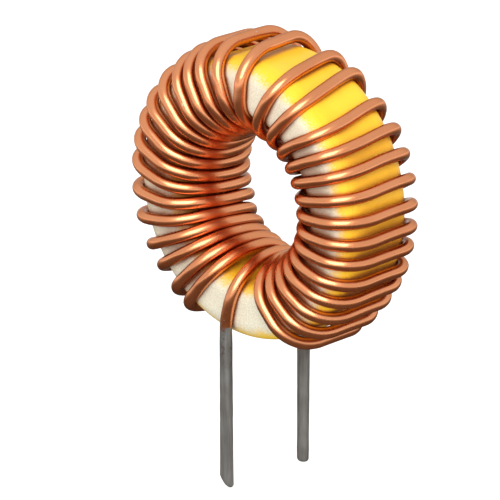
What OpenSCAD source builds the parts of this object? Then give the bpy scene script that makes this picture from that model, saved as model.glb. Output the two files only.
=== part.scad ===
// Toroidal inductor: a coated powder ring wound with one layer of thick enamelled wire. The ring stands
// on edge over its circuit board and hangs on the two tinned ends of the wire.
// The board is the plane Z = 0 and the origin lies half way between the leads. The ring's axis runs
// along Y, and its pale face looks towards -Y.

/* [Ring core] */
// Outside diameter of the ring
core_od = 23.9; // [19.8:0.1:30]
// Inside diameter of the ring
core_id = 14.2; // [11.8:0.1:17]
// Length of the ring along its axis
core_h = 7.92; // [6:0.02:10]
// Rounding of the ring's edges
core_edge = 1.6; // [0.8:0.1:2]

/* [Face coat] */
// Thickness of the pale coat on the front face
coat_t = 0.05; // [0.02:0.01:0.15]
// How far the coat runs round each edge of the face, in eighths of the rounding
coat_wrap = 4; // [1:1:7]

/* [Wire] */
// Diameter of the wire over its enamel
wire_d = 1; // [0.5:0.05:1.2]
// Gap between the wire and the faces of the ring that it is pulled on to
wire_gap = 0.03; // [0.02:0.01:0.1]
// How far the stiff wire bows off the wall half way through the bore
bore_bow = 1.05; // [0.2:0.05:1.4]
// How far it bows off the wall half way across the rim
rim_bow = 0.5; // [0.1:0.05:1]

/* [Winding] */
// Number of turns, side by side in one layer
turns = 30; // [8:1:36]
// Angle of the first turn in the bore, from +X towards +Z
first_turn = -72; // [-80:1:-60]
// Angle from the first turn in the bore to the last
winding_span = 320; // [200:1:324]
// Smallest gap between neighbouring turns in the bore
turn_gap = 0.05; // [0.03:0.01:0.1]

/* [Leads] */
// Sideways distance from the ring's axis to the leads
lead_offset = 0.95; // [0:0.05:3]
// Length of a lead below the board
lead_length = 12.5; // [3:0.1:25]
// Gap between the board and the ring
board_gap = 0.3; // [0:0.1:1]
// Height of the solder above the board
tin_rise = 1.1; // [0.5:0.1:2]
// Thickness of the solder on the wire
tin_t = 0.05; // [0.03:0.01:0.15]
// Clearance between the enamelled wire and its seat in the lead
tin_gap = 0.01; // [0.01:0.01:0.05]

/* [Hidden] */
$fn = 96;

// The ring's section, with its edges limited to what the section can carry
core_ri = core_id / 2;
core_ro = core_od / 2;
half_h = core_h / 2;
edge = min(core_edge, 0.48 * (core_ro - core_ri), 0.48 * core_h);
edge_steps = 8;
edge_step = 90 / edge_steps;

// The wire's centreline in the section: pulled on to the faces, bowed off the bore and the rim
wire_r = wire_d / 2;
face_y = half_h + coat_t + wire_gap + wire_r;
wall_r = core_ri - wire_gap - wire_r;
rim_r = core_ro + wire_gap + wire_r + rim_bow;

// A bend's reach past its edge, as multiples of the bow: across the face and along the axis
bend_across = 0.1;
bend_along = 1.6;
min_straight = 0.1;

// Hand winding, against the share of the winding that is done, all in degrees.
// wander: how far a turn sits from even spacing. lean: the rim end of a turn on the front face ahead of
// its bore end. bore_slant and rim_slant: the back end of a strand in the bore or on the rim ahead of
// its front end.
wander = [[0, 0], [0.1, 0.6], [0.14, -0.1], [0.21, -1.4], [0.34, -1.8], [0.41, -0.8], [0.45, 1.6],
          [0.48, 4.4], [0.52, 3], [0.85, 2.5], [0.93, 0], [1, 0]];
lean = [[0, 10.5], [0.14, 4.6], [0.17, 3.9], [0.24, -0.1], [0.31, -2.9], [0.38, -7.1], [0.41, -4.7],
        [0.45, -5], [0.52, 5], [0.55, 4], [0.62, -3], [0.7, -4], [0.79, -9.2], [0.86, -8], [0.9, -5.4],
        [0.93, -5.9], [0.966, -5.5], [1, -8]];
bore_slant = [[0, 0], [0.6, 0], [0.75, 6], [1, 6]];
rim_slant = [[0, -0.5], [0.17, -0.1], [0.25, 0.6], [0.31, 1], [0.38, 2], [0.45, 1.5], [0.5, 0],
             [0.6, 1.5], [1, 1.5]];

// The strand that comes up from the front lead: its angle in the bore, and its angle at the rim, which
// the strand down to the rear lead shares
start_bore = -91;
exit_rim = -98;

// The even pitch, the pitch at which turns on the bore wall would touch, and the hand winding that the
// difference has room for
pitch = winding_span / (turns - 1);
touch_pitch = 2 * asin((wire_d + turn_gap) / 2 / wall_r);
tightest = max([for (j = [2 : turns]) lookup(share(j - 1), wander) - lookup(share(j), wander)]);
unevenness = max(0, min(1, (pitch - touch_pitch) / tightest));

// Rings of the wire along a bend: the bend's own angle, the lift that keeps the straight pieces between
// rings from cutting inside the bend, and the share of the span between the middles of two bends
bend_rings = [0, 22.5, 45, 67.5, 90];
bend_lift = [1, 1.02, 1.02, 1.02, 1];
span_share = [0.56, 0.78, 0, 0.22, 0.44];
wire_sides = 8;

// Heights over the board
ring_x = lead_offset;
ring_z = core_ro + board_gap;
elbow_drop = 1.3;
exit_steps = 5;
straight_z = tin_rise + 0.2;
lead_r = wire_r + tin_gap + tin_t;
seat_r = wire_r + tin_gap;
seat_depth = wire_d;
tip_round = 0.35;

function share(j) = (j - 1) / (turns - 1);

// Angles of turn j at the four bends: the front end of its bore strand fixes the rest
function bore_front(j) = j == 0 ? start_bore
    : first_turn + winding_span * share(j) + unevenness * lookup(share(j), wander);
function bore_back(j) = bore_front(j) + lookup(share(j), bore_slant);
function rim_front(j) = j == 0 ? exit_rim : bore_front(j) + lookup(share(j), lean);
function rim_back(j) = j > turns ? exit_rim + 360 : rim_front(j) + lookup(share(j), rim_slant);

// Bend b of the wire: the four bends of turn j are 4j (outer back) to 4j + 3 (inner back)
function bend_angle(b) = let (j = floor(b / 4), k = b % 4)
    k == 0 ? rim_back(j) : k == 1 ? rim_front(j) : k == 2 ? bore_front(j) : bore_back(j);

// A smooth curve from p to q at share u, with the neighbours o and r setting its slopes
function smooth(o, p, q, r, u) =
    p + u / 2 * (q - o + u * (2 * o - 5 * p + 4 * q - r + u * (3 * (p - q) + r - o)));

function wire_angle(b, u) = smooth(bend_angle(max(b - 1, 1)), bend_angle(b), bend_angle(b + 1),
    bend_angle(min(b + 2, 4 * turns + 4)), u);

// Radius of turn j in the bore: bowed off the wall, less where the turns crowd
function crowd_pitch(j) = min(
    bore_front(j + 1) - bore_front(j), bore_front(j) - bore_front(j - 1),
    bore_back(j + 1) - bore_back(j), bore_back(j) - bore_back(j - 1)
);
function crowd_r(j) = (wire_d + turn_gap) / 2 / sin(crowd_pitch(j) / 2);
function bore_r(j) = j == 0 ? wall_r - bore_bow : min(wall_r, max(wall_r - bore_bow, crowd_r(j)));

// Reach of the bends across the face and along the axis, shortened where the ring is small
function bend_in_r(j) = edge + wire_r + wire_gap + (wall_r - bore_r(j)) * (1 + bend_across);
function bend_out_r() = edge + wire_r + wire_gap + rim_bow * (1 + bend_across);
function fit_face(j) = min(1, (rim_r - bore_r(j) - min_straight) / (bend_in_r(j) + bend_out_r()));
function bend_y(bow) = min(edge + wire_r + coat_t + wire_gap + bow * bend_along, face_y - min_straight);

// Point [radius, y] of the wire in the section, at ring i of bend b
function section_point(b, i) =
    let (
        a = bend_rings[i],
        j = floor(b / 4),
        k = b % 4,
        outer = k < 2,
        rr = fit_face(j) * (outer ? bend_out_r() : bend_in_r(j)),
        ry = bend_y(outer ? rim_bow : wall_r - bore_r(j)),
        from_face = k == 0 || k == 2,
        toward_face = bend_lift[i] * (from_face ? cos(a) : sin(a)),
        toward_wall = bend_lift[i] * (from_face ? sin(a) : cos(a)),
        radius = outer ? rim_r - rr + rr * toward_wall : bore_r(j) + rr - rr * toward_wall,
        y = face_y - ry + ry * toward_face
    )
    [radius, k == 0 || k == 3 ? y : -y];

function at_angle(section, angle) = [section.x * cos(angle), section.y, section.x * sin(angle)];

// Centreline of the turns, about the ring's centre
turn_points = [
    for (b = [2 : 4 * turns + 3])
        for (i = [0 : len(bend_rings) - 1])
            let (span = bend_rings[i] < 45 ? b - 1 : b)
            at_angle(section_point(b, i), wire_angle(span, span_share[i]))
];

// Centreline of an end, from the face down to the board and on into the lead
function bezier(p, q, r, u) = (1 - u) * (1 - u) * p + 2 * u * (1 - u) * q + u * u * r;
function end_points(start, y) =
    let (
        top = [-lead_offset, y, straight_z - ring_z],
        elbow = top + [0, 0, min(elbow_drop / 2, (start.z - top.z) / 2)],
        end = [-lead_offset, y, -seat_depth - ring_z]
    )
    concat([for (i = [1 : exit_steps]) bezier(start, elbow, top, i / exit_steps)],
        [top - [0, 0, straight_z - tin_rise], end]);

function reversed(list) = [for (i = [len(list) - 1 : -1 : 0]) list[i]];
wire_points = concat(reversed(end_points(turn_points[0], -face_y)), turn_points,
    end_points(turn_points[len(turn_points) - 1], face_y));

// A ring of points round centreline point i, square to the wire, with flats towards its neighbours
function unit(v) = v / norm(v);
function wire_ring(i) =
    let (
        last = len(wire_points) - 1,
        p = wire_points[i],
        along = unit(wire_points[min(i + 1, last)] - wire_points[max(i - 1, 0)]),
        round_ring = unit([-p.z, 0, p.x]),
        side = unit(round_ring - (round_ring * along) * along),
        out = cross(along, side)
    )
    [
        for (s = [0 : wire_sides - 1])
            let (a = 360 * (s + 0.5) / wire_sides)
            p + wire_r * (cos(a) * side + sin(a) * out)
    ];

// Points on a rounded edge of the section, from an angle on for a number of steps, which can be negative
function arc(centre, radius, from, steps) =
    [
        for (i = [0 : abs(steps)])
            let (a = from + sign(steps) * i * edge_step)
            centre + radius * [cos(a), sin(a)]
    ];

// Turns a section drawn as [radius, y] about the ring's axis
module revolve() {
    translate([ring_x, 0, ring_z])
        rotate([-90, 0, 0])
            rotate_extrude()
                children();
}

module core() {
    color([0.98, 0.78, 0.2])
        revolve()
            polygon(concat(
                arc([core_ro - edge, half_h - edge], edge, 0, edge_steps),
                arc([core_ri + edge, half_h - edge], edge, 90, edge_steps),
                arc([core_ri + edge, edge - half_h], edge, 180, edge_steps),
                arc([core_ro - edge, edge - half_h], edge, 270, edge_steps)
            ));
}

module face_coat() {
    inner = [core_ri + edge, edge - half_h];
    outer = [core_ro - edge, edge - half_h];
    color([0.88, 0.85, 0.74])
        revolve()
            polygon(concat(
                arc(inner, edge + coat_t, 270 - coat_wrap * edge_step, coat_wrap),
                arc(outer, edge + coat_t, 270, coat_wrap),
                arc(outer, edge, 270 + coat_wrap * edge_step, -coat_wrap),
                arc(inner, edge, 270, -coat_wrap)
            ));
}

module winding() {
    rings = len(wire_points);
    points = [for (i = [0 : rings - 1]) each wire_ring(i)];
    sides = [
        for (i = [0 : rings - 2])
            for (s = [0 : wire_sides - 1])
                let (
                    a = i * wire_sides + s,
                    b = i * wire_sides + (s + 1) % wire_sides
                )
                each [[a, b + wire_sides, b], [a, a + wire_sides, b + wire_sides]]
    ];
    first_cap = [for (s = [0 : wire_sides - 1]) s];
    last_cap = [for (s = [wire_sides - 1 : -1 : 0]) (rings - 1) * wire_sides + s];
    color([0.8, 0.45, 0.27])
        translate([ring_x, 0, ring_z])
            polyhedron(points, concat([first_cap], sides, [last_cap]));
}

// A tinned end of the wire: a bar with a rounded tip. Above the board its solder thins out round the seat
// that takes the end of the enamelled wire
module lead(y) {
    color([0.5, 0.5, 0.52])
        translate([0, y, 0])
            rotate_extrude()
                polygon(concat(
                    [[seat_r, tin_rise], [seat_r, -seat_depth - tin_gap]],
                    [[0, -seat_depth - tin_gap], [0, -lead_length]],
                    arc([lead_r - tip_round, tip_round - lead_length], tip_round, -90, edge_steps),
                    [[lead_r, 0], [lead_r - tin_t / 2, tin_rise]]
                ));
}

module lead_front() {
    lead(-face_y);
}

module lead_rear() {
    lead(face_y);
}

core();
face_coat();
winding();
lead_front();
lead_rear();
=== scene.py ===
"""Toroidal inductor: a yellow ring core with an off-white face, wound with enamelled copper wire.

The ring's axis runs along Y, its pale face looks towards -Y, and the two tinned leads point down.
"""

import math

import bpy
import numpy as np
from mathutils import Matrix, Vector


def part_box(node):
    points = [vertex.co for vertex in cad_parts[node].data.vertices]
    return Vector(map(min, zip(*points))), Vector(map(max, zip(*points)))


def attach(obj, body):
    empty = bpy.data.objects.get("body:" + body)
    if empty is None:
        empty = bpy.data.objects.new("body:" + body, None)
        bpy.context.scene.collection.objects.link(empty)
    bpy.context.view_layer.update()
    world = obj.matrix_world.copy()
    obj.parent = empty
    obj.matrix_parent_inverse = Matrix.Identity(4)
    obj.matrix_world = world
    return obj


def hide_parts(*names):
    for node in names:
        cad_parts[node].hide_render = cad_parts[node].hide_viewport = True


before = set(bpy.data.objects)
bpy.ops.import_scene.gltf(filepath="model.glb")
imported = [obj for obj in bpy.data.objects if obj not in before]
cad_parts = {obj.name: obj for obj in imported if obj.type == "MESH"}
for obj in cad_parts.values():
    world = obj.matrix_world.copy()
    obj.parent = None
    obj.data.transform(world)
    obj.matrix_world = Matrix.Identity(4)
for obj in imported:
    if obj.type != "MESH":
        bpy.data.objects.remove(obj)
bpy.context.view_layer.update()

MM = 0.001


# ---------------------------------------------------------------- sizes from the frame
def node_points(name):
    """The CAD node's vertices as an array."""
    return np.array([v.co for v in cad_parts[name].data.vertices])


core_lo, core_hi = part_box("core")
coat_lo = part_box("face_coat")[0]
front_lo, front_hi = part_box("lead_front")
rear_lo, rear_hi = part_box("lead_rear")

RING = np.array((core_lo + core_hi) / 2)
RIM_R = (core_hi.x - core_lo.x) / 2
HALF = (core_hi.y - core_lo.y) / 2
HOLE_R = np.hypot(*(node_points("core") - RING)[:, [0, 2]].T).min()
COAT = core_lo.y - coat_lo.y
LEAD_X = (front_lo.x + front_hi.x) / 2
LEAD_R = (front_hi.x - front_lo.x) / 2
FACE_Y = (rear_lo.y + rear_hi.y) / 2
TIN_TOP = front_hi.z
TIP_Z = front_lo.z

# ---------------------------------------------------------------- sizes of the visible pieces
# The rounding of the ring's edges
EDGE = 1.6 * MM

# The wire, how far it bows off the wall of the bore, and the gap between crowded turns, which press
# into each other by less than shows
WIRE_R = 0.52 * MM
BORE_BOW = 1.1 * MM
TURN_GAP = -0.04 * MM

# Reach of the wire's bends across the face and along the axis: at the bore, and at the rim in front
# and behind
BEND_IN = (3.45 * MM, 4.3 * MM)
BEND_OUT = (2.7 * MM, 3.25 * MM)
BEND_BACK = (2.35 * MM, 2.5 * MM)

# The turns, and angles round the ring, in degrees from +X towards +Z, as in the CAD source: the first
# turn in the bore, from there to the last, the strand from the front lead in the bore, and the strand
# at the rim that both leads share
TURNS = 30
FIRST_TURN = -72
SPAN = 320
START_BORE = -91
EXIT_RIM = -98

# The leads aren't quite straight: where each leaves the ring and where it ends, how much further down
# than in the CAD source, and how much further up the front one's solder climbs. The floor lies under
# the longer one.
FRONT_X = LEAD_X - 0.05 * MM
FRONT_TIP_X = LEAD_X + 0.03 * MM
FRONT_EXTRA = 0.35 * MM
FRONT_CLIMB = 0.7 * MM
REAR_X = LEAD_X + 0.18 * MM
REAR_TIP_X = LEAD_X + 0.13 * MM
REAR_EXTRA = 0.5 * MM
FLOOR_Z = TIP_Z - REAR_EXTRA

# The wire's ends: straight above the solder, the elbow above that, and the end inside the solder
STRAIGHT = 0.2 * MM
ELBOW = 0.65 * MM
WIRE_IN_TIN = 1 * MM

# The solder: the rounding at a tip, the depth of its dents, the waves of its top edge, how far up a
# slanted cut reaches, and the side of the tip, in x and y, that the cut leaves longest
TIP_ROUNDING = 0.3 * MM
DENT = 0.03 * MM
RAGGED = 0.07 * MM
CUT_REACH = 2 * MM
LONG_SIDE = (0.72, 0.69)

# The off-white coat: where its colour ends, from the ring's axis, the share of each rounding that its
# skin leaves bare, how deep the skin's edges and underside lie in the core, and the share of its width
# over which it thins out
COAT_INNER = 7.7 * MM
COAT_OUTER = 11.2 * MM
SKIN_BARE = 0.2
SUNK_EDGE = 0.01 * MM
SUNK_UNDER = 0.03 * MM
THINNING = 0.1

# How far the surfaces look for others that shut them in, which sets their painted shade and glow
COPPER_REACH = 0.9 * MM
PAINT_REACH = 1.5 * MM

# Colours, as linear RGB: each surface has two that it varies between, a painted shade that it turns to
# where the turns shut it in, and those that it turns to where something lies on it. The yellow also has a
# painted glow of the copper's light near the wire, and the copper has a tint at grazing angles.
COPPER = (0.86, 0.32, 0.132)
COPPER_BRIGHT = (0.92, 0.36, 0.156)
COPPER_PAINTED_SHADE = (0.54, 0.18, 0.075)
COPPER_GRAZING = (0.40, 0.28, 0.20)
DIRT = (0.35, 0.13, 0.06)
DUST = (0.95, 0.80, 0.66)
YELLOW = (0.98, 0.58, 0.03)
YELLOW_PALE = (0.98, 0.63, 0.04)
YELLOW_PAINTED_COPPER_GLOW = (0.95, 0.42, 0.02)
YELLOW_PAINTED_SHADE = (0.40, 0.14, 0.025)
CREAM = (0.72, 0.67, 0.50)
CREAM_PALE = (0.90, 0.85, 0.68)
CREAM_PAINTED_SHADE = (0.36, 0.11, 0.04)
TIN = (0.20, 0.205, 0.195)
TIN_BRIGHT = (0.42, 0.425, 0.41)
TIN_SCORCHED = (0.16, 0.10, 0.07)
FLOOR_GREY = (0.62, 0.62, 0.62)
FLAG_BROWN = (0.13, 0.09, 0.07)

# Hand winding against the share of the winding that is done. The first three tables are those of the
# CAD source, in degrees: how far a turn sits from even spacing, how far the rim end of its front strand
# is ahead of its bore end, and the back end of its bore strand ahead of the front end.
WANDER = [(0, 0), (0.1, 0.6), (0.14, -0.1), (0.21, -1.4), (0.34, -1.8), (0.41, -0.8), (0.45, 1.6),
          (0.48, 4.4), (0.52, 3), (0.85, 2.5), (0.93, 0), (1, 0)]
LEAN = [(0, 10.5), (0.14, 4.6), (0.17, 3.9), (0.24, -0.1), (0.31, -2.9), (0.38, -7.1), (0.41, -4.7),
        (0.45, -5), (0.52, 5), (0.55, 4), (0.62, -3), (0.7, -4), (0.79, -9.2), (0.86, -8), (0.9, -5.4),
        (0.93, -5.9), (0.966, -5.5), (1, -8)]
BORE_SLANT = [(0, 0), (0.6, 0), (0.75, 6), (1, 6)]

# The same for the strand across the rim, in degrees, and how far that strand bows off the rim, in
# millimetres. Both follow each loop closer than the CAD source does.
RIM_SLANT = [(0, 1.2), (0.035, 1), (0.07, 1.6), (0.1, 1.2), (0.14, -0.2), (0.24, 0), (0.31, 1),
             (0.35, 2), (0.38, 4), (0.414, 5.5), (0.45, 3.8), (0.483, 3), (0.52, 0.5), (0.6, 2.5), (1, 2.5)]
RIM_BOW = [(0, 0.46), (0.034, 0.36), (0.07, 0.22), (0.24, 0.2), (0.31, 0.3), (0.35, 0.3), (0.38, 0.05),
           (0.45, 0.05), (0.48, 0.3), (0.52, 0.5), (0.55, 0.5), (0.6, 0.42), (0.65, 0.48), (0.72, 0.52),
           (0.86, 0.52), (0.93, 0.35), (1, 0.35)]


def lookup(x, table):
    """Straight-line reading of a short table."""
    return float(np.interp(x, [k for k, _ in table], [v for _, v in table]))


# ---------------------------------------------------------------- mesh helpers
def new_object(name, verts, faces, material, smooth=True):
    """An object in the scene with one mesh and one material."""
    mesh = bpy.data.meshes.new(name)
    mesh.from_pydata([tuple(map(float, v)) for v in verts], [], [tuple(map(int, f)) for f in faces])
    mesh.validate()
    if smooth:
        mesh.polygons.foreach_set("use_smooth", [True] * len(mesh.polygons))
    obj = bpy.data.objects.new(name, mesh)
    bpy.context.scene.collection.objects.link(obj)
    mesh.materials.append(material)
    return obj


def grid_faces(rows, cols, close_rows=False):
    """Quads over a grid of points, rows by cols, where each row is a closed loop."""
    faces = []
    for i in range(rows if close_rows else rows - 1):
        for j in range(cols):
            a, b = i * cols + j, i * cols + (j + 1) % cols
            c, d = ((i + 1) % rows) * cols + (j + 1) % cols, ((i + 1) % rows) * cols + j
            faces.append((a, b, c, d))
    return faces


def unit(v):
    """Each vector at length 1."""
    return v / np.linalg.norm(v, axis=-1, keepdims=True)


def tube(name, points, radii, sides, material):
    """A round tube along points about the ring, with closed ends and no twist against the ring."""
    ahead = np.roll(points, -1, 0)
    behind = np.roll(points, 1, 0)
    ahead[-1] = points[-1]
    behind[0] = points[0]
    along = unit(ahead - behind)
    from_axis = points - RING
    round_ring = unit(np.stack([-from_axis[:, 2], 0 * from_axis[:, 1], from_axis[:, 0]], 1))
    side = unit(round_ring - (round_ring * along).sum(1, keepdims=True) * along)
    out = np.cross(along, side)
    a = np.linspace(0, 2 * np.pi, sides, endpoint=False)[None, :, None]
    rings = points[:, None] + radii[:, None, None] * (np.cos(a) * side[:, None] + np.sin(a) * out[:, None])
    verts = rings.reshape(-1, 3)
    faces = grid_faces(len(points), sides)
    faces.append(tuple(range(sides))[::-1])
    faces.append(tuple(range((len(points) - 1) * sides, len(points) * sides)))
    return new_object(name, verts, faces, material)


# ---------------------------------------------------------------- the wire's path
def share(j):
    """Share of the winding that is done at turn j, from 1 to TURNS."""
    return (j - 1) / (TURNS - 1)


def bore_front(j):
    """Angle of turn j at the front end of its strand in the bore; the strand from the front lead is 0."""
    if j == 0:
        return START_BORE
    return FIRST_TURN + SPAN * share(j) + lookup(share(j), WANDER)


def bore_back(j):
    """Angle of turn j at the back end of its strand in the bore."""
    return bore_front(j) + lookup(share(j), BORE_SLANT)


def rim_front(j):
    """Angle of turn j at the front end of its strand across the rim."""
    return EXIT_RIM if j == 0 else bore_front(j) + lookup(share(j), LEAN)


def rim_back(j):
    """Angle of turn j at the back end of its strand across the rim."""
    return EXIT_RIM + 360 if j > TURNS else rim_front(j) + lookup(share(j), RIM_SLANT)


def bend_angle(b):
    """Angle round the ring of bend b; the bends of turn j are 4j, outer back, to 4j + 3, inner back."""
    return (rim_back, rim_front, bore_front, bore_back)[b % 4](b // 4)


def bore_radius(j):
    """Radius of turn j in the bore, where crowded turns lie nearer the wall."""
    wall = HOLE_R - WIRE_R
    if j == 0:
        return wall - BORE_BOW
    gaps = [bore_front(j + 1) - bore_front(j), bore_front(j) - bore_front(j - 1),
            bore_back(j + 1) - bore_back(j), bore_back(j) - bore_back(j - 1)]
    crowded = (WIRE_R + TURN_GAP / 2) / math.sin(math.radians(min(gaps)) / 2)
    return min(wall, max(wall - BORE_BOW, crowded))


def bend_points(b, start, end, count=12):
    """Points [radius, y] along bend b, from one angle of the bend to another, in degrees."""
    j, k = divmod(b, 4)
    a = np.radians(np.linspace(start, end, count))
    reach_r, reach_y = (BEND_BACK, BEND_OUT, BEND_IN, BEND_IN)[k]
    face, wall = (np.cos(a), np.sin(a)) if k in (0, 2) else (np.sin(a), np.cos(a))
    if k < 2:
        radius = RIM_R + WIRE_R + lookup(share(j), RIM_BOW) * MM - reach_r * (1 - wall)
    else:
        radius = bore_radius(j) + reach_r * (1 - wall)
    y = FACE_Y - reach_y * (1 - face)
    return np.stack([radius, y if k in (0, 3) else -y], 1)


def smooth(o, p, q, r, u):
    """Curve from p to q at share u, with the neighbours o and r setting its slopes."""
    return p + u / 2 * (q - o + u * (2 * o - 5 * p + 4 * q - r + u * (3 * (p - q) + r - o)))


def span_points(b, count):
    """The wire from the middle of bend b towards the middle of the next, about the ring's centre."""
    line = np.concatenate([bend_points(b, 45, 90), bend_points(b + 1, 0, 45)])
    steps = np.linalg.norm(np.diff(line, axis=0), axis=1)
    along = np.concatenate([[0], np.cumsum(steps)]) / steps.sum()
    u = np.arange(count) / count
    radius = np.interp(u, along, line[:, 0])
    y = np.interp(u, along, line[:, 1])
    angles = [bend_angle(min(max(i, 1), 4 * TURNS + 4)) for i in (b - 1, b, b + 1, b + 2)]
    theta = np.radians(smooth(*angles, u))
    return np.stack([radius * np.cos(theta), y, radius * np.sin(theta)], 1) + RING


def lead_points(start, x, y):
    """The wire from the face down to where it ends inside the solder."""
    top = np.array([x, y, TIN_TOP + STRAIGHT])
    elbow = top + np.array([0, 0, ELBOW])
    u = np.linspace(0, 1, 14)[1:, None]
    curve = (1 - u) ** 2 * start + 2 * u * (1 - u) * elbow + u ** 2 * top
    return np.concatenate([curve, [top - [0, 0, WIRE_IN_TIN / 2], top - [0, 0, WIRE_IN_TIN]]])


def unevenness(count, most=0.025 * MM, every=9, seed=5):
    """Small wanderings of a hand-laid wire, eased from one random knot to the next."""
    knots = np.random.default_rng(seed).uniform(-most, most, (count // every + 2, 3))
    at = np.arange(count) / every
    i = at.astype(int)
    u = ((1 - np.cos(np.pi * (at - i))) / 2)[:, None]
    return knots[i] * (1 - u) + knots[i + 1] * u


def wire_path(count=24):
    """The wire's centreline from the front lead through all turns to the rear lead."""
    half = count // 2
    first = span_points(1, count)[half + 1:]
    middle = [span_points(b, count) for b in range(2, 4 * TURNS + 3)]
    last = span_points(4 * TURNS + 3, count)[:half]
    turns = np.concatenate([first, *middle, last])
    turns += unevenness(len(turns))
    front = lead_points(turns[0], FRONT_X, -FACE_Y)[::-1]
    rear = lead_points(turns[-1], REAR_X, FACE_Y)
    return np.concatenate([front, turns, rear])


# ---------------------------------------------------------------- materials
def material(name):
    """A new material and its Principled shader."""
    mat = bpy.data.materials.new(name)
    mat.use_nodes = True
    nodes = mat.node_tree.nodes
    nodes.clear()
    out = nodes.new("ShaderNodeOutputMaterial")
    shader = nodes.new("ShaderNodeBsdfPrincipled")
    mat.node_tree.links.new(shader.outputs[0], out.inputs[0])
    return mat, shader


class Nodes:
    """Short names for making and linking shader nodes."""

    def __init__(self, mat):
        self.tree = mat.node_tree

    def new(self, kind, **settings):
        node = self.tree.nodes.new(kind)
        for key, value in settings.items():
            setattr(node, key, value)
        return node

    def link(self, a, b):
        self.tree.links.new(a, b)

    def position(self):
        """Where the shaded point lies, in metres, in the part's own frame."""
        return self.new("ShaderNodeTexCoord").outputs["Object"]

    def noise(self, scale, detail=2.0, roughness=0.5, vector=None):
        node = self.new("ShaderNodeTexNoise")
        node.inputs["Scale"].default_value = scale
        node.inputs["Detail"].default_value = detail
        node.inputs["Roughness"].default_value = roughness
        self.link(vector or self.position(), node.inputs["Vector"])
        return node.outputs["Fac"]

    def ramp(self, value, low, high, to_low=0.0, to_high=1.0, smooth_step=True):
        """The value from low to high mapped to another range, and held there beyond it."""
        node = self.new("ShaderNodeMapRange")
        node.interpolation_type = "SMOOTHSTEP" if smooth_step else "LINEAR"
        node.inputs["From Min"].default_value = low
        node.inputs["From Max"].default_value = high
        node.inputs["To Min"].default_value = to_low
        node.inputs["To Max"].default_value = to_high
        self.link(value, node.inputs["Value"])
        return node.outputs["Result"]

    def math(self, operation, a, b=None):
        node = self.new("ShaderNodeMath", operation=operation)
        for socket, value in zip(node.inputs, (a, b)):
            if isinstance(value, (int, float)):
                socket.default_value = value
            elif value is not None:
                self.link(value, socket)
        return node.outputs[0]

    def mix(self, fac, a, b):
        """Colour a where fac is 0 and b where it is 1; each is a tuple or a socket."""
        node = self.new("ShaderNodeMix", data_type="RGBA")
        self.link(fac, node.inputs["Factor"])
        for socket, value in ((node.inputs["A"], a), (node.inputs["B"], b)):
            if isinstance(value, tuple):
                socket.default_value = (*value, 1)
            else:
                self.link(value, socket)
        return node.outputs["Result"]

    def bump(self, shader, height, strength, distance):
        node = self.new("ShaderNodeBump")
        node.inputs["Strength"].default_value = strength
        node.inputs["Distance"].default_value = distance
        self.link(height, node.inputs["Height"])
        self.link(node.outputs[0], shader.inputs["Normal"])

    def stretched(self, x, y, z):
        """The position scaled by axis, which draws a pattern out along the axis with the small factor."""
        node = self.new("ShaderNodeVectorMath", operation="MULTIPLY")
        self.link(self.position(), node.inputs[0])
        node.inputs[1].default_value = (x, y, z)
        return node.outputs[0]

    def openness(self, reach):
        """1 where no other surface stands within reach, and less between the turns."""
        node = self.new("ShaderNodeAmbientOcclusion", samples=12)
        node.inputs["Distance"].default_value = reach
        return node.outputs["AO"]

    def radius(self, shift_x, shift_z):
        """Distance in millimetres from a line that lies beside the ring's axis by two shifts in metres."""
        shift = self.new("ShaderNodeVectorMath", operation="SUBTRACT")
        self.link(self.position(), shift.inputs[0])
        shift.inputs[1].default_value = tuple(RING + [shift_x, 0, shift_z])
        flat = self.new("ShaderNodeVectorMath", operation="MULTIPLY")
        self.link(shift.outputs[0], flat.inputs[0])
        flat.inputs[1].default_value = (1 / MM, 0, 1 / MM)
        length = self.new("ShaderNodeVectorMath", operation="LENGTH")
        self.link(flat.outputs[0], length.inputs[0])
        return length.outputs["Value"]


def enamelled_copper():
    """Bright copper under clear enamel, with a few specks of dirt and dust, and painted shade between the
    turns.
    """
    mat, shader = material("enamelled_copper")
    n = Nodes(mat)
    tone = n.noise(180, 3)
    base = n.mix(n.ramp(tone, 0.35, 0.65), COPPER, COPPER_BRIGHT)
    dirty = n.mix(n.ramp(n.noise(1400, 4, 0.7), 0.70, 0.78), base, DIRT)
    dusty = n.mix(n.ramp(n.noise(2300, 1), 0.80, 0.83), dirty, DUST)
    # Painted shade: the copper darkens where other turns shut it in
    painted_shade_mask = n.ramp(n.openness(COPPER_REACH), 0.28, 0.82, 1, 0)
    n.link(n.mix(painted_shade_mask, dusty, COPPER_PAINTED_SHADE), shader.inputs["Base Color"])
    shader.inputs["Metallic"].default_value = 1.0
    n.link(n.ramp(n.noise(400, 3), 0.3, 0.7, 0.23, 0.31), shader.inputs["Roughness"])
    shader.inputs["Specular Tint"].default_value = (*COPPER_GRAZING, 1)
    shader.inputs["Coat Weight"].default_value = 0.5
    shader.inputs["Coat Roughness"].default_value = 0.14
    shader.inputs["Coat IOR"].default_value = 1.5
    n.bump(shader, n.noise(900, 2), 0.15, 0.02 * MM)
    return mat


def yellow_paint(n, air):
    """The core's coating, with a painted orange glow of copper light near the wire, and painted brown shade
    where the turns shut the coating in.
    """
    paint = n.mix(n.ramp(n.noise(250, 4), 0.3, 0.7), YELLOW, YELLOW_PALE)
    # Painted glow: copper light reflected onto the yellow where the turns stand near
    with_painted_glow = n.mix(n.ramp(air, 0.44, 0.68, 1, 0), paint, YELLOW_PAINTED_COPPER_GLOW)
    # Painted shade: the yellow turns dark brown where the turns shut it in
    return n.mix(n.ramp(air, 0.38, 0.55, 1, 0), with_painted_glow, YELLOW_PAINTED_SHADE)


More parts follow.
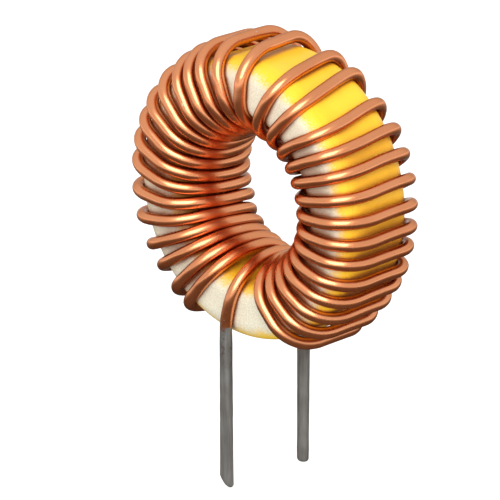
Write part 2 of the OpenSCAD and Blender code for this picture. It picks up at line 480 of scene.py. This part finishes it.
def yellow_epoxy():
    """The core's smooth powder coating."""
    mat, shader = material("yellow_epoxy")
    n = Nodes(mat)
    n.link(yellow_paint(n, n.openness(PAINT_REACH)), shader.inputs["Base Color"])
    n.link(n.ramp(n.noise(600, 3), 0.3, 0.7, 0.32, 0.45), shader.inputs["Roughness"])
    shader.inputs["Specular IOR Level"].default_value = 0.2
    shader.inputs["Coat Weight"].default_value = 0.08
    shader.inputs["Coat Roughness"].default_value = 0.15
    n.bump(shader, n.noise(1300, 3, 0.6), 0.3, 0.03 * MM)
    return mat


def white_spray():
    """The off-white coat, which thins out to specks over the yellow at both its edges, with painted shade
    where the turns shut it in.
    """
    mat, shader = material("white_spray")
    n = Nodes(mat)
    inner, outer, fade = COAT_INNER / MM, COAT_OUTER / MM, 0.4
    wavy = n.ramp(n.noise(350, 2), 0.25, 0.75, -0.3, 0.3, smooth_step=False)
    specks = n.ramp(n.noise(12000, 1), 0.25, 0.75, -0.45, 0.45, smooth_step=False)
    radius = n.math("ADD", n.radius(-0.2 * MM, -0.1 * MM), n.math("ADD", wavy, specks))
    inside = n.math("MULTIPLY", n.ramp(radius, inner - fade, inner + fade),
                    n.ramp(radius, outer + fade, outer - fade))
    paint = n.mix(n.ramp(n.noise(7000, 3, 0.6), 0.3, 0.7), CREAM, CREAM_PALE)
    air = n.openness(PAINT_REACH)
    # Painted shade: the cream turns dark red-brown where the turns shut it in
    shaded = n.mix(n.ramp(air, 0.32, 0.52, 1, 0), paint, CREAM_PAINTED_SHADE)
    n.link(n.mix(inside, yellow_paint(n, air), shaded), shader.inputs["Base Color"])
    n.link(n.ramp(inside, 0, 1, 0.38, 0.45), shader.inputs["Roughness"])
    shader.inputs["Specular IOR Level"].default_value = 0.2
    shader.inputs["Coat Weight"].default_value = 0.08
    shader.inputs["Coat Roughness"].default_value = 0.15
    n.bump(shader, n.noise(5000, 3, 0.6), 0.3, 0.02 * MM)
    return mat


def solder():
    """Dull dipped solder, drawn out down the wire and browned near its top by the enamel's burning."""
    mat, shader = material("solder")
    n = Nodes(mat)
    drawn = n.stretched(1, 1, 0.08)
    streaks = n.ramp(n.noise(1500, 4, 0.6, drawn), 0.3, 0.7)
    tin = n.mix(streaks, TIN, TIN_BRIGHT)
    height = n.new("ShaderNodeSeparateXYZ")
    n.link(n.position(), height.inputs[0])
    scorched = n.math("MULTIPLY", n.ramp(height.outputs["Z"], TIN_TOP - 5 * MM, TIN_TOP),
                      n.ramp(n.noise(1800, 4, 0.7), 0.5, 0.62))
    n.link(n.mix(scorched, tin, TIN_SCORCHED), shader.inputs["Base Color"])
    shader.inputs["Metallic"].default_value = 0.75
    n.link(n.ramp(n.noise(700, 4), 0.3, 0.7, 0.3, 0.45), shader.inputs["Roughness"])
    n.bump(shader, n.noise(1100, 4, 0.6, n.stretched(1, 1, 0.3)), 0.5, 0.05 * MM)
    return mat


# ---------------------------------------------------------------- pieces
def core_profile(edge_steps=14):
    """Closed outline [radius, y] of the ring's section."""
    corners = [(RIM_R - EDGE, HALF - EDGE, 0), (HOLE_R + EDGE, HALF - EDGE, 90),
               (HOLE_R + EDGE, EDGE - HALF, 180), (RIM_R - EDGE, EDGE - HALF, 270)]
    points = []
    for radius, y, start in corners:
        for a in np.radians(np.linspace(start, start + 90, edge_steps)):
            points.append((radius + EDGE * math.cos(a), y + EDGE * math.sin(a)))
    return np.array(points)


def revolve(section, theta):
    """Points of a section [radius, y] at each angle theta about the ring's axis."""
    r, y = section[..., 0], section[..., 1]
    return np.stack([r * np.cos(theta), y + 0 * theta, r * np.sin(theta)], -1) + RING


def make_core(mat, steps=300):
    """The ring with its rounded edges."""
    profile = core_profile()
    theta = np.linspace(0, 2 * np.pi, steps, endpoint=False)
    verts = revolve(profile[None], theta[:, None]).reshape(-1, 3)
    return new_object("core_body", verts, grid_faces(steps, len(profile), close_rows=True), mat)


def front_line(s, lift):
    """Point [radius, y] on the front of the section, at s from the inner rounding's start, lifted off it."""
    quarter = EDGE * math.pi / 2
    flat = RIM_R - HOLE_R - 2 * EDGE
    inner = np.clip(s / EDGE, 0, math.pi / 2)
    outer = np.clip((s - quarter - flat) / EDGE, 0, math.pi / 2)
    radius = (HOLE_R + EDGE - (EDGE + lift) * np.cos(inner) + np.clip(s - quarter, 0, flat)
              + (EDGE + lift) * np.sin(outer))
    y = -(HALF - EDGE) - (EDGE + lift) * np.sin(inner) + (EDGE + lift) * (1 - np.cos(outer))
    return np.stack([radius, y], -1)


def make_face_coat(mat, steps=720, across=30):
    """A skin over the front face that thins out at both its edges."""
    quarter = EDGE * math.pi / 2
    inner_edge = quarter * SKIN_BARE
    outer_edge = quarter * (2 - SKIN_BARE) + RIM_R - HOLE_R - 2 * EDGE
    theta = np.linspace(0, 2 * np.pi, steps, endpoint=False)[:, None]
    u = np.linspace(0, 1, across)[None]
    s = inner_edge + (outer_edge - inner_edge) * u + 0 * theta
    thickness = np.interp(np.minimum(u, 1 - u), [0, THINNING], [-SUNK_EDGE, COAT]) + 0 * theta
    top = revolve(front_line(s, thickness), theta)
    bottom = revolve(front_line(s, -SUNK_UNDER), theta)[:, ::-1]
    verts = np.concatenate([top, bottom], 1).reshape(-1, 3)
    return new_object("face_coat_skin", verts, grid_faces(steps, 2 * across, close_rows=True), mat)


def make_lead(name, mat, seed, y, top, tip, top_r, tip_r, cut, rings=90, sides=28):
    """A solder skin: an uneven round bar from top (x, z) to tip (x, z), with a slanted cut of height cut."""
    (top_x, high), (tip_x, low) = top, tip
    down = np.linspace(0, 1, rings)
    dents = np.random.default_rng(seed).uniform(-1, 0, 16) * DENT
    radii = np.interp(down, [0, 0.3, 1], [top_r, LEAD_R, tip_r])
    radii += np.interp(down, np.linspace(0, 1, len(dents)), dents)
    z = high + (low + TIP_ROUNDING - high) * down
    x = top_x + (tip_x - top_x) * down
    rounding = np.radians(np.linspace(0, 85, 8))[1:]
    z = np.concatenate([z, low + TIP_ROUNDING * (1 - np.sin(rounding))])
    x = np.concatenate([x, np.full(len(rounding), tip_x)])
    radii = np.concatenate([radii, radii[-1] * (0.45 + 0.55 * np.cos(rounding))])
    piece = tube(name, np.stack([x, np.full(len(z), y), z], 1), radii, sides, mat)
    for v in piece.data.vertices:
        sideways = ((v.co.x - tip_x) * LONG_SIDE[0] + (v.co.y - y) * LONG_SIDE[1]) / LEAD_R
        near_tip = max(0, 1 - (v.co.z - low) / CUT_REACH)
        near_top = max(0, 1 - (high - v.co.z) / MM)
        waves = math.sin(4 * math.atan2(v.co.x - top_x, v.co.y - y)) + sideways
        v.co.z += cut * ((1 - min(sideways, 1)) / 2) ** 2 * near_tip + RAGGED * waves * near_top
    return piece


def place(piece, node):
    """Rides a piece on the body in place of a CAD node, which it hides."""
    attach(piece, "root")
    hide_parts(node)


copper = enamelled_copper()
yellow = yellow_epoxy()
tin = solder()

place(make_core(yellow), "core")
place(make_face_coat(white_spray()), "face_coat")
path = wire_path()
place(tube("winding_wire", path, np.full(len(path), WIRE_R), 20, copper), "winding")
front_tin = make_lead("lead_front_tin", tin, seed=3, y=-FACE_Y, top=(FRONT_X, TIN_TOP + FRONT_CLIMB),
                      tip=(FRONT_TIP_X, TIP_Z - FRONT_EXTRA), top_r=0.54 * MM, tip_r=0.58 * MM,
                      cut=1.0 * MM)
rear_tin = make_lead("lead_rear_tin", tin, seed=8, y=FACE_Y, top=(REAR_X, TIN_TOP),
                     tip=(REAR_TIP_X, TIP_Z - REAR_EXTRA), top_r=0.54 * MM, tip_r=0.52 * MM,
                     cut=0.1 * MM)
place(front_tin, "lead_front")
place(rear_tin, "lead_rear")


# ---------------------------------------------------------------- camera
# The photo's viewing angle, the camera's distance from the ring's centre and the width it sees there,
# and how far left of the centre and below it the middle of the picture lies
AZIMUTH = math.radians(43.84)
ELEVATION = math.radians(18.11)
DISTANCE = 0.433
VIEW_WIDTH = 41.135 * MM
AIM_LEFT = 1.887 * MM
AIM_BELOW = 4.854 * MM
SENSOR_WIDTH = 36

TO_CAMERA = Vector((math.sin(AZIMUTH) * math.cos(ELEVATION), -math.cos(AZIMUTH) * math.cos(ELEVATION),
                    math.sin(ELEVATION)))
RIGHT = Vector((math.cos(AZIMUTH), math.sin(AZIMUTH), 0))
UP = TO_CAMERA.cross(RIGHT)
CENTRE = Vector(RING)

camera_data = bpy.data.cameras.new("camera")
camera = bpy.data.objects.new("camera", camera_data)
bpy.context.scene.collection.objects.link(camera)
bpy.context.scene.camera = camera
camera.location = CENTRE + TO_CAMERA * DISTANCE
aim = CENTRE - RIGHT * AIM_LEFT - UP * AIM_BELOW
camera.rotation_euler = (aim - camera.location).to_track_quat("-Z", "Y").to_euler()
camera_data.sensor_width = SENSOR_WIDTH
camera_data.lens = SENSOR_WIDTH * DISTANCE / VIEW_WIDTH
camera_data.clip_start = 0.01
camera_data.clip_end = 20


# ---------------------------------------------------------------- floor, world and lights
def white_where_seen(n):
    """1 for the rays that show the backdrop: from the camera, and reflected or refracted in a piece."""
    seen = n.new("ShaderNodeLightPath").outputs
    mirrored = n.math("MAXIMUM", seen["Is Glossy Ray"], seen["Is Transmission Ray"])
    return n.math("MAXIMUM", seen["Is Camera Ray"], mirrored)


def plain_card(name, mat, centre, half_side):
    """A level square that is part of the studio."""
    x, y, z = centre
    signs = ((-1, -1), (1, -1), (1, 1), (-1, 1))
    corners = [(x + i * half_side, y + j * half_side, z) for i, j in signs]
    card = new_object(name, corners, [(0, 1, 2, 3)], mat, smooth=False)
    return card


def stage_material(name):
    """A new material, its nodes and the socket that its surface goes to."""
    mat = bpy.data.materials.new(name)
    mat.use_nodes = True
    mat.node_tree.nodes.clear()
    n = Nodes(mat)
    return mat, n, n.new("ShaderNodeOutputMaterial").inputs["Surface"]


def make_floor(lift):
    """A pale floor that keeps the shadow and comes out white."""
    mat, n, surface = stage_material("pale_floor")
    diffuse = n.new("ShaderNodeBsdfDiffuse")
    diffuse.inputs["Color"].default_value = (*FLOOR_GREY, 1)
    glow = n.new("ShaderNodeEmission")
    n.link(n.math("MULTIPLY", white_where_seen(n), lift), glow.inputs["Strength"])
    add = n.new("ShaderNodeAddShader")
    n.link(diffuse.outputs[0], add.inputs[0])
    n.link(glow.outputs[0], add.inputs[1])
    n.link(add.outputs[0], surface)
    plain_card("floor", mat, (0, 0, FLOOR_Z), half_side=3.0)


def make_world(level):
    """White where it is seen, and light of the given level on every surface."""
    world = bpy.data.worlds.new("studio")
    bpy.context.scene.world = world
    world.use_nodes = True
    world.node_tree.nodes.clear()
    n = Nodes(world)
    background = n.new("ShaderNodeBackground")
    n.link(n.ramp(white_where_seen(n), 0, 1, level, 1, smooth_step=False), background.inputs["Strength"])
    n.link(background.outputs[0], n.new("ShaderNodeOutputWorld").inputs["Surface"])


def direction(azimuth, elevation):
    """Unit vector at an azimuth in degrees, from straight out of the pale face to +X, and an elevation."""
    a, e = math.radians(azimuth), math.radians(elevation)
    return Vector((math.sin(a) * math.cos(e), -math.cos(a) * math.cos(e), math.sin(e)))


def softbox(name, towards, distance, size, level):
    """A square light that lights a white card facing it to the given level."""
    data = bpy.data.lights.new(name, "AREA")
    data.shape = "SQUARE"
    data.size = size
    data.energy = level * math.pi ** 2 * distance ** 2
    light = bpy.data.objects.new(name, data)
    bpy.context.scene.collection.objects.link(light)
    light.location = CENTRE + towards * distance
    light.rotation_euler = (CENTRE - light.location).to_track_quat("-Z", "Y").to_euler()
    return light


def make_flag(towards, reach, radius):
    """A dark flag low in front, which only reflections show: it gives the bright wire its dark side."""
    mat, n, surface = stage_material("soft_flag")
    centre = (towards.x * reach, towards.y * reach, FLOOR_Z + 0.1 * MM)
    dark = n.new("ShaderNodeBsdfDiffuse")
    dark.inputs["Color"].default_value = (*FLAG_BROWN, 1)
    clear = n.new("ShaderNodeBsdfTransparent")
    away = n.new("ShaderNodeVectorMath", operation="DISTANCE")
    n.link(n.position(), away.inputs[0])
    away.inputs[1].default_value = centre
    fade = n.new("ShaderNodeMixShader")
    n.link(n.ramp(away.outputs["Value"], 0.25 * radius, radius, smooth_step=False), fade.inputs[0])
    n.link(dark.outputs[0], fade.inputs[1])
    n.link(clear.outputs[0], fade.inputs[2])
    n.link(fade.outputs[0], surface)
    card = plain_card("soft_flag", mat, centre, radius)
    card.visible_camera = False
    card.visible_shadow = False
    card.visible_diffuse = False


make_floor(lift=0.7)
make_world(level=0.8)
softbox("key", direction(32, 35), distance=0.35, size=0.28, level=0.76)
softbox("fill", direction(80, 25), distance=0.6, size=0.6, level=0.5).visible_glossy = False
make_flag(direction(50, 0), reach=0.04, radius=0.25)

bpy.context.scene.view_settings.view_transform = "Standard"
